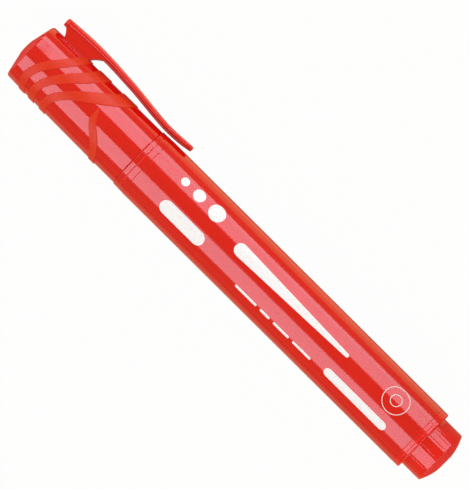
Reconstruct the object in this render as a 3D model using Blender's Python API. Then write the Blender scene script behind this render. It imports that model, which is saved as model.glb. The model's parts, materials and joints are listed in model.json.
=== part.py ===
"""Permanent marker with a pull-off cap, a pocket clip and a fluted end plug.

Lengths are in metres. Every piece is drawn about the marker's own axis, with +X from the
end plug to the cap and +Z through the clip. One empty then rolls the marker until its clip
rests on the table, and sets the origin under the middle of the bounding box.
"""

import math

import bmesh
import bpy
from mathutils import Vector

MM = 0.001
SEGMENTS = 48  # facets round a piece that shows
INNER_SEGMENTS = 32  # facets round a piece inside the marker

# Fits
SEAT_GAP = 0.3 * MM  # between end faces that rest on each other
PRESS_GAP = 0.15 * MM  # round a piece that is pressed into another
SLIDE_GAP = 0.2 * MM  # round the neck and the nose, inside the cap
EDGE = 0.25 * MM  # small bevel on moulded edges
END_FLAT = 2.0 * MM  # radius of the flat in the middle of both domed ends

# Barrel
BARREL_LENGTH = 88.5 * MM
BARREL_RADIUS = 8.5 * MM
BARREL_DRAFT = 0.08 * MM  # how much thinner the radius is at the rear
BARREL_WALL = 1.3 * MM
BARREL_RIBS = 6  # inside, to hold the reservoir in the middle
RIB_FACETS = 8  # facets of the barrel from one rib to the next

# End plug
FLANGE_STEP = 0.02 * MM  # from the rear of the barrel in to the flange
FLANGE_RADIUS = BARREL_RADIUS - BARREL_DRAFT - FLANGE_STEP
FLANGE_LENGTH = 2.1 * MM
KNOB_STEP = 1.23 * MM  # from the flange in to the knob
KNOB_RADIUS = FLANGE_RADIUS - KNOB_STEP
KNOB_LENGTH = 7.1 * MM  # with its domed end
KNOB_SLOPES = (math.radians(5.0), math.radians(27.0))  # of its domed end, at the flat and at the shoulder
KNOB_ROUND = 0.35 * MM
KNOB_WALL = 1.5 * MM
KNOB_FLUTES = 48
FLUTE_DEPTH = 0.08 * MM
SPIGOT_LENGTH = 8.0 * MM
SPIGOT_WALL = 1.2 * MM
PLUG_FLOOR = 2.0 * MM

# Nib holder
SKIRT_LENGTH = 12.0 * MM  # inside the barrel
SKIRT_WALL = 0.8 * MM
COLLAR_LENGTH = 2.45 * MM
COLLAR_TAPER = 0.1 * MM  # from the barrel's radius to the front of the collar
COLLAR_FRONT_RADIUS = BARREL_RADIUS - COLLAR_TAPER
COLLAR_LAND = 0.65 * MM  # in front of the collar's groove
COLLAR_GROOVE = 0.3 * MM
LEDGE_DEPTH = 2.0 * MM  # from the collar back to the reservoir's stop
FEED_RADIUS = 4.0 * MM
SNAP_HEIGHT = 0.2 * MM
SNAP_WIDTH = 1.2 * MM
CONE_LENGTH = 5.0 * MM
NOSE_LENGTH = 6.0 * MM
NIB_GRIP = 9.0 * MM  # length of the bore that holds the nib
FEED_TAPER = 5.0 * MM  # length over which the feed narrows to that bore

# Nib and reservoir
NIB_RADIUS = 2.4 * MM
NIB_REACH = 6.0 * MM
NIB_POINT = 3.6 * MM
NIB_SOAK = 9.0 * MM  # how far the nib runs into the reservoir
FILM_WALL = 0.25 * MM

# Cap and its liner
CAP_LENGTH = 36.95 * MM
CAP_STEP = 0.22 * MM  # from the collar in to the cap's mouth
CAP_RADIUS = COLLAR_FRONT_RADIUS - CAP_STEP
CAP_TAPER = 0.33 * MM  # from the mouth's radius to the closed end's
CAP_END_RADIUS = CAP_RADIUS - CAP_TAPER
CAP_SLOPES = (math.radians(13.5), math.radians(13.5))
CAP_ROUND = 0.65 * MM
CAP_WALL = 1.15 * MM
CAP_FLOOR = 2.7 * MM
LINER_WALL = 0.8 * MM
LINER_FLANGE = 1.0 * MM
LINER_LIP = 1.05 * MM  # how far its two flanges stand out
LINER_SETBACK = 1.5 * MM  # from the root of the nose to the liner
LINER_ROOM = 5.6 * MM  # free length in front of the nib
RETAINER_HEIGHT = 0.3 * MM
RETAINER_WIDTH = 0.6 * MM

# Raised bands round the cap. A band's middle line lies at a mean distance from the cap's closed
# end, and its tilt, sag and twist are the waves it makes once, twice and three times per turn.
BAND_HEIGHT = 0.22 * MM
BAND_WIDTH = 2.1 * MM
BAND_FLARE = math.radians(-10)  # from here up to the clip the bands widen
FIRST_BAND = dict(mean=8.27 * MM, tilt=3.65 * MM, sag=-1.28 * MM, twist=0.56 * MM, clip_width=2.6 * MM)
SECOND_BAND = dict(mean=12.67 * MM, tilt=4.88 * MM, sag=-1.16 * MM, twist=0.58 * MM, clip_width=4.3 * MM)
THIRD_BAND = dict(mean=18.41 * MM, tilt=7.32 * MM, sag=-1.29 * MM, twist=0.75 * MM, clip_width=5.2 * MM)
SWAG_WIDTH = 2.1 * MM
SWAG_STEP = 0.001  # of height, over which the half band's lean is taken
SWAG_START = math.radians(11)
SWAG_FADE = math.radians(10)
SWAG_PATH = [  # height as a share of the cap's radius, and distance from the cap's closed end
    (-1.0, 29.6 * MM),
    (-0.64, 27.7 * MM),
    (-0.17, 23.9 * MM),
    (0.15, 23.0 * MM),
    (0.2, 22.95 * MM),
]

# Clip, with the heights of its outer face over the cap's mouth
CLIP_SETBACK = 2.55 * MM  # from the cap's end to the clip's head
CLIP_LENGTH = 42.0 * MM
CLIP_HEAD_RISE = 3.77 * MM
CLIP_CREST_RISE = 4.22 * MM
CLIP_SHOULDER_RISE = 3.6 * MM
CLIP_CREST = 10.0 * MM  # from the clip's head
CLIP_TIP_LENGTH = 8.0 * MM  # from the waist to the tip
CLIP_TIP_LIFT = 0.3 * MM  # of the tip over the waist
CLIP_CLEARANCE = 0.35 * MM  # under the waist
CLIP_WIDTH = 5.8 * MM
CLIP_TIP_WIDTH = 4.6 * MM
PLATE_THICKNESS = 1.5 * MM
PLATE_TIP_THICKNESS = 0.9 * MM
CLIP_RIB_WIDTH = 2.0 * MM
CLIP_RIB_DEPTH = 0.72 * MM
CLIP_RIB_TIP_DEPTH = 0.45 * MM
CLIP_RIB_TAPER = 2.5 * MM  # length over which the rib fades towards the tip
CLIP_ROUND = 0.8 * MM
CLIP_STEP = 1.6 * MM
FIN_WIDTH = 4.6 * MM
FIN_START = 2.27 * MM  # at the cap's surface, from the clip's head
FIN_LENGTH = 7.85 * MM
FIN_FRONT_FLARE = 1.2 * MM
FIN_REAR_FLARE = 3.13 * MM
FIN_HOLLOW = 1.5  # power of the flares' curve: 1 is a quarter ellipse, 2 a straight slope

# Linear colours
BODY_RED = (0.72, 0.020, 0.011)
CAP_RED = (0.74, 0.022, 0.012)
FELT_RED = (0.42, 0.012, 0.012)
FIBRE_RED = (0.55, 0.05, 0.05)
INNER_WHITE = (0.80, 0.79, 0.77)

# Places along the axis, from the tip of the end plug
FLANGE_FRONT = KNOB_LENGTH + FLANGE_LENGTH
BARREL_REAR = FLANGE_FRONT + SEAT_GAP
BARREL_FRONT = BARREL_REAR + BARREL_LENGTH
COLLAR_REAR = BARREL_FRONT + SEAT_GAP
COLLAR_FRONT = COLLAR_REAR + COLLAR_LENGTH
CAP_MOUTH = COLLAR_FRONT + SEAT_GAP
CAP_APEX = CAP_MOUTH + CAP_LENGTH
CAP_CEILING = CAP_APEX - CAP_FLOOR
LINER_END = CAP_CEILING - SEAT_GAP
LINER_CEILING = LINER_END - LINER_WALL
NIB_TIP = LINER_CEILING - LINER_ROOM
NOSE_FRONT = NIB_TIP - NIB_REACH
NOSE_REAR = NOSE_FRONT - NOSE_LENGTH
NECK_FRONT = NOSE_REAR - CONE_LENGTH
LINER_MOUTH = NOSE_REAR + LINER_SETBACK
LEDGE = COLLAR_REAR - LEDGE_DEPTH
SKIRT_REAR = COLLAR_REAR - SKIRT_LENGTH
SPIGOT_FRONT = FLANGE_FRONT + SPIGOT_LENGTH
RESERVOIR_REAR = SPIGOT_FRONT + SEAT_GAP
RESERVOIR_FRONT = LEDGE - SEAT_GAP

# Radii that follow from the fits
BORE_RADIUS = BARREL_RADIUS - BARREL_DRAFT - BARREL_WALL
SKIRT_RADIUS = BORE_RADIUS - PRESS_GAP
CHAMBER_RADIUS = SKIRT_RADIUS - SKIRT_WALL
FILM_RADIUS = CHAMBER_RADIUS - PRESS_GAP
CORE_RADIUS = FILM_RADIUS - FILM_WALL - PRESS_GAP
NIB_BORE = NIB_RADIUS + PRESS_GAP
CAP_BORE = CAP_RADIUS - CAP_WALL
NECK_RADIUS = CAP_BORE - SLIDE_GAP - SNAP_HEIGHT
LINER_SEAT = CAP_END_RADIUS - CAP_WALL
LINER_FLANGE_RADIUS = LINER_SEAT - PRESS_GAP
LINER_RADIUS = LINER_FLANGE_RADIUS - LINER_LIP
LINER_BORE = LINER_RADIUS - LINER_WALL
NOSE_RADIUS = LINER_BORE - SLIDE_GAP
RETAINER_RADIUS = LINER_SEAT - RETAINER_HEIGHT

# The clip's waist, and the parting line where its free arm starts to bend
CLIP_HEAD = CAP_APEX - CLIP_SETBACK
CLIP_WAIST = CLIP_LENGTH - CLIP_TIP_LENGTH
CLIP_PARTING = FIN_START + FIN_LENGTH + FIN_REAR_FLARE + SEAT_GAP


def clear_scene():
    for old in list(bpy.data.objects):
        bpy.data.objects.remove(old, do_unlink=True)


def surface(name, colour, roughness):
    """A plain material in one linear colour."""
    material = bpy.data.materials.new(name)
    material.use_nodes = True
    shader = material.node_tree.nodes["Principled BSDF"]
    shader.inputs["Base Color"].default_value = (*colour, 1.0)
    shader.inputs["Roughness"].default_value = roughness
    material.diffuse_color = (*colour, 1.0)
    return material


def empty(name, parent=None, place=(0.0, 0.0, 0.0)):
    guide = bpy.data.objects.new(name, None)
    guide.parent = parent
    guide.location = place
    bpy.context.scene.collection.objects.link(guide)
    return guide


def add_body(name, bm, parent, material=None):
    """Turn a bmesh drawn about the parent's origin into an object."""
    bmesh.ops.recalc_face_normals(bm, faces=bm.faces)
    mesh = bpy.data.meshes.new(name)
    bm.to_mesh(mesh)
    bm.free()
    mesh.shade_smooth()
    mesh.set_sharp_from_angle(angle=math.radians(30))
    if material:
        mesh.materials.append(material)
    body = bpy.data.objects.new(name, mesh)
    body.parent = parent
    bpy.context.scene.collection.objects.link(body)
    return body


def add_tool(name, bm, parent):
    """A guide body that a Boolean joins to another, and that isn't a piece by itself."""
    tool = add_body(name, bm, parent)
    tool.hide_render = True
    tool.display_type = "WIRE"
    return tool


def unite(body, tool):
    union = body.modifiers.new(tool.name, "BOOLEAN")
    union.operation = "UNION"
    union.solver = "EXACT"
    union.object = tool


def turned(outline, segments=SEGMENTS, origin=0.0):
    """Spin (x, radius) points about the axis; an outline clear of the axis closes on itself."""
    bm = bmesh.new()
    verts = [bm.verts.new((x - origin, 0.0, radius)) for x, radius in outline]
    edges = [bm.edges.new(pair) for pair in zip(verts, verts[1:])]
    if outline[0][1] > 0:
        edges.append(bm.edges.new((verts[-1], verts[0])))
    bmesh.ops.spin(
        bm,
        geom=verts + edges,
        cent=(0, 0, 0),
        axis=(1, 0, 0),
        angle=math.tau,
        steps=segments,
        use_merge=True,
    )
    bmesh.ops.remove_doubles(bm, verts=bm.verts, dist=0.0001 * MM)
    return bm


def skinned(sections, closed=False):
    """Skin a run of loops with like points; an open run gets a face on both ends."""
    bm = bmesh.new()
    loops = [[bm.verts.new(point) for point in section] for section in sections]
    pairs = list(zip(loops, loops[1:]))
    if closed:
        pairs.append((loops[-1], loops[0]))
    else:
        bm.faces.new(loops[0])
        bm.faces.new(loops[-1])
    for near, far in pairs:
        for here, start in enumerate(near):
            there = (here + 1) % len(near)
            bm.faces.new((start, near[there], far[there], far[here]))
    return bm


def domed_end(radius, slopes, corner):
    """Outline of a domed end, from the axis to the round side: a flat, a dome and a round shoulder."""
    inner, outer = slopes
    dome_steps = 6 if outer > inner else 1
    corner_steps = 6
    run = radius - corner * (1 - math.sin(outer)) - END_FLAT
    start = math.tan(inner)
    gain = math.tan(outer) - start
    points = [(0.0, 0.0)]
    for step in range(dome_steps):
        share = step / dome_steps
        points.append((run * (start * share + gain * share**2 / 2), END_FLAT + run * share))
    centre = run * (start + gain / 2) + corner * math.cos(outer)
    for step in range(corner_steps + 1):
        turn = outer + (math.pi / 2 - outer) * step / corner_steps
        points.append((centre - corner * math.cos(turn), radius - corner + corner * math.sin(turn)))
    return points


def make_barrel(parent):
    rear_radius = BARREL_RADIUS - BARREL_DRAFT
    rib_rear = RESERVOIR_REAR + EDGE
    rib_front = SKIRT_REAR - SEAT_GAP
    outline = [
        (BARREL_REAR, BORE_RADIUS),
        (BARREL_REAR, rear_radius - EDGE),
        (BARREL_REAR + EDGE, rear_radius),
        (BARREL_FRONT - EDGE, BARREL_RADIUS),
        (BARREL_FRONT, BARREL_RADIUS - EDGE),
        (BARREL_FRONT, BORE_RADIUS),
        (rib_front, BORE_RADIUS),
        (rib_front - EDGE, BORE_RADIUS),
        (rib_rear + EDGE, BORE_RADIUS),
        (rib_rear, BORE_RADIUS),
    ]
    segments = BARREL_RIBS * RIB_FACETS
    bm = turned(outline, segments)
    rib_radius = FILM_RADIUS + PRESS_GAP
    for vert in bm.verts:
        facet = round(math.atan2(vert.co.y, vert.co.z) / math.tau * segments) % RIB_FACETS
        inside = math.hypot(vert.co.y, vert.co.z) < BORE_RADIUS + PRESS_GAP
        if inside and facet < 2 and rib_rear + EDGE / 2 < vert.co.x < rib_front - EDGE / 2:
            vert.co.yz *= rib_radius / BORE_RADIUS
    return add_body("barrel", bm, parent, surface("barrel_red", BODY_RED, 0.22))


def make_end_plug(parent):
    spigot_radius = BORE_RADIUS - PRESS_GAP
    spigot_hollow = spigot_radius - SPIGOT_WALL
    knob_hollow = KNOB_RADIUS - KNOB_WALL
    groove = FLANGE_LENGTH / 2
    outline = domed_end(KNOB_RADIUS, KNOB_SLOPES, KNOB_ROUND)
    knob_start = outline[-1][0]
    outline += [
        (KNOB_LENGTH, KNOB_RADIUS),
        (KNOB_LENGTH, FLANGE_RADIUS - EDGE),
        (KNOB_LENGTH + EDGE, FLANGE_RADIUS),
        (KNOB_LENGTH + groove - EDGE, FLANGE_RADIUS),
        (KNOB_LENGTH + groove, FLANGE_RADIUS - EDGE),
        (KNOB_LENGTH + groove + EDGE, FLANGE_RADIUS),
        (FLANGE_FRONT, FLANGE_RADIUS),
        (FLANGE_FRONT, spigot_radius),
        (SPIGOT_FRONT - EDGE, spigot_radius),
        (SPIGOT_FRONT, spigot_radius - EDGE),
        (SPIGOT_FRONT, spigot_hollow),
        (KNOB_LENGTH + groove, spigot_hollow),
        (KNOB_LENGTH + groove, knob_hollow),
        (PLUG_FLOOR, knob_hollow),
        (PLUG_FLOOR, 0.0),
    ]
    bm = turned(outline, 2 * KNOB_FLUTES)
    for vert in bm.verts:
        radius = math.hypot(vert.co.y, vert.co.z)
        facet = round(math.atan2(vert.co.y, vert.co.z) / math.tau * 2 * KNOB_FLUTES)
        on_side = knob_start - EDGE / 2 < vert.co.x < KNOB_LENGTH + EDGE / 2
        if facet % 2 and on_side and abs(radius - KNOB_RADIUS) < FLUTE_DEPTH / 2:
            vert.co.yz *= 1 - FLUTE_DEPTH / KNOB_RADIUS
    return add_body("end_plug", bm, parent, surface("plug_red", BODY_RED, 0.20))


def make_nib_holder(parent):
    groove = COLLAR_FRONT - COLLAR_LAND
    snap = (COLLAR_FRONT + NECK_FRONT - SNAP_WIDTH) / 2
    outline = [
        (SKIRT_REAR, CHAMBER_RADIUS),
        (SKIRT_REAR, SKIRT_RADIUS - EDGE),
        (SKIRT_REAR + EDGE, SKIRT_RADIUS),
        (COLLAR_REAR, SKIRT_RADIUS),
        (COLLAR_REAR, BARREL_RADIUS),
        (groove - COLLAR_GROOVE, COLLAR_FRONT_RADIUS),
        (groove - COLLAR_GROOVE / 2, COLLAR_FRONT_RADIUS - COLLAR_GROOVE),
        (groove, COLLAR_FRONT_RADIUS),
        (COLLAR_FRONT - EDGE, COLLAR_FRONT_RADIUS),
        (COLLAR_FRONT, COLLAR_FRONT_RADIUS - EDGE),
        (COLLAR_FRONT, NECK_RADIUS),
        (snap, NECK_RADIUS),
        (snap + SNAP_WIDTH / 2, NECK_RADIUS + SNAP_HEIGHT),
        (snap + SNAP_WIDTH, NECK_RADIUS),
        (NECK_FRONT, NECK_RADIUS),
        (NOSE_REAR, NOSE_RADIUS),
        (NOSE_FRONT - EDGE, NOSE_RADIUS),
        (NOSE_FRONT, NOSE_RADIUS - EDGE),
        (NOSE_FRONT, NIB_BORE),
        (NOSE_FRONT - NIB_GRIP, NIB_BORE),
        (NOSE_FRONT - NIB_GRIP - FEED_TAPER, FEED_RADIUS),
        (LEDGE, FEED_RADIUS),
        (LEDGE, CHAMBER_RADIUS),
    ]
    bm = turned(outline)
    return add_body("nib_holder", bm, parent, surface("holder_red", BODY_RED, 0.25))


def make_nib(parent):
    rear = RESERVOIR_FRONT - NIB_SOAK + SEAT_GAP
    point_start = NIB_TIP - NIB_POINT
    outline = [(rear, 0.0), (rear, NIB_RADIUS - EDGE), (rear + EDGE, NIB_RADIUS)]
    steps = 8
    for step in range(steps + 1):
        turn = math.pi / 2 * step / steps
        outline.append((point_start + NIB_POINT * math.sin(turn), NIB_RADIUS * math.cos(turn)))
    outline[-1] = (NIB_TIP, 0.0)
    bm = turned(outline, INNER_SEGMENTS)
    return add_body("nib", bm, parent, surface("felt_red", FELT_RED, 0.85))


def make_reservoir(parent):
    soak_end = RESERVOIR_FRONT - NIB_SOAK
    outline = [
        (RESERVOIR_REAR, 0.0),
        (RESERVOIR_REAR, CORE_RADIUS),
        (RESERVOIR_FRONT, CORE_RADIUS),
        (RESERVOIR_FRONT, NIB_BORE),
        (soak_end, NIB_BORE),
        (soak_end, 0.0),
    ]
    bm = turned(outline, INNER_SEGMENTS)
    return add_body("ink_reservoir", bm, parent, surface("fibre_red", FIBRE_RED, 0.9))


def make_reservoir_film(parent):
    outline = [
        (RESERVOIR_REAR, FILM_RADIUS - FILM_WALL),
        (RESERVOIR_REAR, FILM_RADIUS),
        (RESERVOIR_FRONT, FILM_RADIUS),
        (RESERVOIR_FRONT, FILM_RADIUS - FILM_WALL),
    ]
    bm = turned(outline, INNER_SEGMENTS)
    return add_body("reservoir_film", bm, parent, surface("film_white", INNER_WHITE, 0.35))


def make_cap_liner(parent):
    outline = [
        (LINER_END, 0.0),
        (LINER_END, LINER_FLANGE_RADIUS),
        (LINER_END - LINER_FLANGE, LINER_FLANGE_RADIUS),
        (LINER_END - LINER_FLANGE, LINER_RADIUS),
        (LINER_MOUTH + LINER_FLANGE, LINER_RADIUS),
        (LINER_MOUTH + LINER_FLANGE, LINER_FLANGE_RADIUS),
        (LINER_MOUTH, LINER_FLANGE_RADIUS),
        (LINER_MOUTH, LINER_BORE + EDGE),
        (LINER_MOUTH + EDGE, LINER_BORE),
        (LINER_CEILING, LINER_BORE),
        (LINER_CEILING, 0.0),
    ]
    bm = turned(outline, INNER_SEGMENTS, CAP_MOUTH)
    return add_body("cap_liner", bm, parent, surface("liner_white", INNER_WHITE, 0.4))


def cap_radius(depth):
    """Outer radius of the cap at a distance from its closed end."""
    share = min(max(depth / CAP_LENGTH, 0.0), 1.0)
    return CAP_END_RADIUS + (CAP_RADIUS - CAP_END_RADIUS) * (1 - (1 - share) ** 2)


def make_cap_shell(parent):
    crown = domed_end(CAP_END_RADIUS, CAP_SLOPES, CAP_ROUND)
    outline = [(CAP_APEX - depth, radius) for depth, radius in crown]
    crown_depth = crown[-1][0]
    steps = 6
    for step in range(1, steps + 1):
        depth = crown_depth + (CAP_LENGTH - EDGE - crown_depth) * step / steps
        outline.append((CAP_APEX - depth, cap_radius(depth)))
    retainer = LINER_MOUTH - SEAT_GAP
    outline += [
        (CAP_MOUTH, CAP_RADIUS - EDGE),
        (CAP_MOUTH, CAP_BORE + EDGE),
        (CAP_MOUTH + EDGE, CAP_BORE),
        (NOSE_REAR - CONE_LENGTH / 2, CAP_BORE),
        (retainer - RETAINER_WIDTH, RETAINER_RADIUS),
        (retainer, RETAINER_RADIUS),
        (retainer, LINER_SEAT),
        (CAP_CEILING, LINER_SEAT),
        (CAP_CEILING, 0.0),
    ]
    bm = turned(outline, SEGMENTS, CAP_MOUTH)
    shell = add_body("cap_shell", bm, parent, surface("cap_red", CAP_RED, 0.15))
    unite(shell, add_tool("first_band", band(**FIRST_BAND), parent))
    unite(shell, add_tool("second_band", band(**SECOND_BAND), parent))
    unite(shell, add_tool("third_band", band(**THIRD_BAND), parent))
    unite(shell, add_tool("swag_band", swag(), parent))
    unite(shell, add_tool("clip_fin", fin(), parent))
    unite(shell, add_tool("clip_head", clip_run(0.0, CLIP_PARTING - SEAT_GAP / 2, CAP_MOUTH), parent))
    return shell


def on_cap(depth, turn, lift):
    """Point on the cap's surface; turn is 0 facing +Y and a quarter turn under the clip."""
    radius = cap_radius(depth) + lift
    return Vector((CAP_LENGTH - depth, radius * math.cos(turn), radius * math.sin(turn)))


def band_section(middle, width, turn, lift):
    near = middle - width / 2
    far = middle + width / 2
    root = -CAP_WALL / 3
    corners = [(near, root), (far, root), (far, lift), (near, lift)]
    return [on_cap(depth, turn, height) for depth, height in corners]


def band(mean, tilt, sag, twist, clip_width):
    """A wavy ring, the same on both sides of the clip and wider under it."""
    sections = []
    for step in range(SEGMENTS):
        turn = math.tau * (step + 0.5) / SEGMENTS
        side = math.asin(math.sin(turn))
        middle = mean + tilt * math.sin(side) + sag * math.cos(2 * side) + twist * math.sin(3 * side)
        steepness = tilt * math.cos(side) - 2 * sag * math.sin(2 * side) + 3 * twist * math.cos(3 * side)
        flare = max(0.0, (side - BAND_FLARE) / (math.pi / 2 - BAND_FLARE))
        across = BAND_WIDTH + (clip_width - BAND_WIDTH) * flare
        along = across * math.hypot(1.0, steepness / cap_radius(middle))
        sections.append(band_section(middle, along, turn, BAND_HEIGHT))
    return skinned(sections, closed=True)


def swag():
    """A half band that rises out of the cap on both sides and hangs away from the clip."""
    steps = SEGMENTS // 2
    span = math.pi + 2 * SWAG_START
    sunk = -BAND_HEIGHT / 2
    sections = []
    for step in range(steps + 1):
        run = span * step / steps
        turn = SWAG_START - run
        height = math.sin(turn)
        middle = through(SWAG_PATH, height)
        lean = (through(SWAG_PATH, height + SWAG_STEP) - middle) / SWAG_STEP
        along = SWAG_WIDTH * math.hypot(1.0, lean * math.cos(turn) / cap_radius(middle))
        rise = min(1.0, run / SWAG_FADE, (span - run) / SWAG_FADE)
        sections.append(band_section(middle, along, turn, sunk + (BAND_HEIGHT - sunk) * rise))
    return skinned(sections)


def through(points, at):
    """Height at a place on a smooth curve through (place, height) points."""
    last = len(points) - 1
    index = max(i for i in range(last) if points[i][0] <= at or i == 0)
    (x0, y0), (x1, y1) = points[index], points[index + 1]

    def lean(i):
        before, after = points[max(i - 1, 0)], points[min(i + 1, last)]
        return (after[1] - before[1]) / (after[0] - before[0])

    run = x1 - x0
    t = (at - x0) / run
    rise = (2 * t**3 - 3 * t**2 + 1) * y0 + (3 * t**2 - 2 * t**3) * y1
    return rise + run * ((t**3 - 2 * t**2 + t) * lean(index) + (t**3 - t**2) * lean(index + 1))


def plate_thickness(place):
    return PLATE_THICKNESS + (PLATE_TIP_THICKNESS - PLATE_THICKNESS) * place / CLIP_LENGTH


def rib_depth(place):
    fade = min(1.0, (CLIP_LENGTH - place) / CLIP_RIB_TAPER)
    return CLIP_RIB_TIP_DEPTH + (CLIP_RIB_DEPTH - CLIP_RIB_TIP_DEPTH) * fade


def clip_height(place):
    """Outer face of the clip above the axis, at a distance from the clip's head."""
    under_waist = max(BARREL_RADIUS, COLLAR_FRONT_RADIUS, CAP_RADIUS + BAND_HEIGHT)
    waist_height = under_waist + CLIP_CLEARANCE + rib_depth(CLIP_WAIST) + plate_thickness(CLIP_WAIST)
    path = [
        (0.0, CAP_RADIUS + CLIP_HEAD_RISE),
        (CLIP_CREST, CAP_RADIUS + CLIP_CREST_RISE),
        ((CLIP_CREST + CLIP_WAIST) / 2, CAP_RADIUS + CLIP_SHOULDER_RISE),
        (CLIP_WAIST, waist_height),
        (CLIP_LENGTH, waist_height + CLIP_TIP_LIFT),
    ]
    return through(path, place)


def clip_underside(place):
    return clip_height(place) - plate_thickness(place) - rib_depth(place)


def clip_section(place, origin):
    """Cross-section of the clip: a plate with a narrower rib under it, rounded off at both ends."""
    from_end = min(place, CLIP_LENGTH - place, CLIP_ROUND)
    inset = CLIP_ROUND - math.sqrt(CLIP_ROUND**2 - (CLIP_ROUND - from_end) ** 2)
    taper = max(0.0, (place - CLIP_CREST) / (CLIP_LENGTH - CLIP_CREST))
    half = (CLIP_WIDTH + (CLIP_TIP_WIDTH - CLIP_WIDTH) * taper) / 2 - inset
    rib = min(CLIP_RIB_WIDTH / 2, half - EDGE)
    top = clip_height(place) - inset * plate_thickness(place) / (2 * CLIP_ROUND)
    bottom = clip_underside(place) + inset * rib_depth(place) / (2 * CLIP_ROUND)
    step = clip_height(place) - plate_thickness(place)
    profile = [
        (-half, top),
        (half, top),
        (half, step),
        (rib, step),
        (rib, bottom),
        (-rib, bottom),
        (-rib, step),
        (-half, step),
    ]
    return [Vector((CLIP_HEAD - place - origin, y, z)) for y, z in profile]


def clip_places(start, end):
    """Places along the clip, closer together on its rounded ends."""
    round_steps = 4
    straight = CLIP_LENGTH - 2 * CLIP_ROUND
    count = math.ceil(straight / CLIP_STEP)
    places = [CLIP_ROUND * (step / round_steps) ** 2 for step in range(round_steps)]
    places += [CLIP_ROUND + straight * step / count for step in range(count + 1)]
    places += [CLIP_LENGTH - place for place in places[:round_steps]]
    inner = [place for place in sorted(places) if start + EDGE < place < end - EDGE]
    rounded = [place for place in places if min(place, CLIP_LENGTH - place) < EDGE]
    return sorted({start, end, *inner, *[place for place in rounded if start < place < end]})


def clip_run(start, end, origin):
    return skinned([clip_section(place, origin) for place in clip_places(start, end)])


def fin_flare(turn):
    """Shares of a flare's length and height at a turn of its curve."""
    return max(0.0, math.cos(turn)) ** FIN_HOLLOW, math.sin(turn) ** FIN_HOLLOW


def fin():
    """Web between the cap and the clip, hollowed out at both ends."""
    steps = 6
    end = FIN_START + FIN_LENGTH
    head = FIN_START - FIN_FRONT_FLARE
    foot = cap_radius(CLIP_SETBACK + FIN_START) - CAP_WALL / 2
    outline = [(end, foot), (FIN_START, foot)]
    front_floor = cap_radius(CLIP_SETBACK + FIN_START)
    front_rise = clip_underside(head) + EDGE - front_floor
    for step in range(steps + 1):
        turn = math.pi / 2 * step / steps
        along, up = fin_flare(turn)
        outline.append((head + FIN_FRONT_FLARE * along, front_floor + front_rise * up))
    tail = end + FIN_REAR_FLARE
    outline.append((head, clip_height(head) - plate_thickness(head) / 2))
    outline.append((tail, clip_height(tail) - plate_thickness(tail) / 2))
    rear_floor = cap_radius(CLIP_SETBACK + end)
    rear_rise = clip_underside(tail) + EDGE - rear_floor
    for step in range(steps + 1):
        turn = math.pi / 2 * (1 - step / steps)
        along, up = fin_flare(turn)
        outline.append((tail - FIN_REAR_FLARE * along, rear_floor + rear_rise * up))
    side = FIN_WIDTH / 2
    sections = []
    for y in (-side, side):
        sections.append([Vector((CLIP_HEAD - CAP_MOUTH - place, y, z)) for place, z in outline])
    return skinned(sections)


def make_clip_arm(parent):
    hinge = CLIP_HEAD - CLIP_PARTING
    arm = clip_run(CLIP_PARTING + SEAT_GAP / 2, CLIP_LENGTH, hinge)
    bmesh.ops.translate(arm, verts=arm.verts, vec=(0, 0, -hinge_height()))
    return add_body("clip_arm", arm, parent, surface("clip_red", CAP_RED, 0.15))


def hinge_height():
    """Middle of the clip's thickness at its parting line."""
    return (clip_height(CLIP_PARTING) + clip_underside(CLIP_PARTING)) / 2


def resting_roll():
    """Turn about the axis that brings the clip's crest down to the table beside the barrel."""
    crest = CAP_RADIUS + CLIP_CREST_RISE
    reach = math.hypot(crest, CLIP_WIDTH / 2)
    dip = math.asin(min(1.0, BARREL_RADIUS / reach)) - math.atan2(CLIP_WIDTH / 2, crest)
    return math.pi / 2 + dip


def set_down(root, bodies):
    """Move the root so that the origin lies under the middle of the bounding box."""
    bpy.context.view_layer.update()
    graph = bpy.context.evaluated_depsgraph_get()
    points = []
    for body in bodies:
        shaped = body.evaluated_get(graph)
        points += [shaped.matrix_world @ vert.co for vert in shaped.data.vertices]
    low = Vector(min(point[axis] for point in points) for axis in range(3))
    high = Vector(max(point[axis] for point in points) for axis in range(3))
    root.location -= Vector(((low.x + high.x) / 2, (low.y + high.y) / 2, low.z))


def main():
    clear_scene()
    root = empty("marker_axis")
    cap_axis = empty("cap_axis", root, (CAP_MOUTH, 0.0, 0.0))
    clip_hinge = empty("clip_hinge", cap_axis, (CLIP_HEAD - CLIP_PARTING - CAP_MOUTH, 0.0, hinge_height()))
    bodies = [
        make_barrel(root),
        make_end_plug(root),
        make_nib_holder(root),
        make_nib(root),
        make_reservoir(root),
        make_reservoir_film(root),
        make_cap_liner(cap_axis),
        make_cap_shell(cap_axis),
        make_clip_arm(clip_hinge),
    ]
    root.rotation_euler.x = resting_roll()
    set_down(root, bodies)


main()
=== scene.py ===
"""Looks of a red permanent marker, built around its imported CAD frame.

Pieces are modelled about the marker's own axis, with x as in the frame, +Z through the clip and
+Y towards the camera of the photograph, and then rolled to where the marker lies.
"""

import json
import math

import bmesh
import bpy
from mathutils import Matrix, Vector


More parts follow.
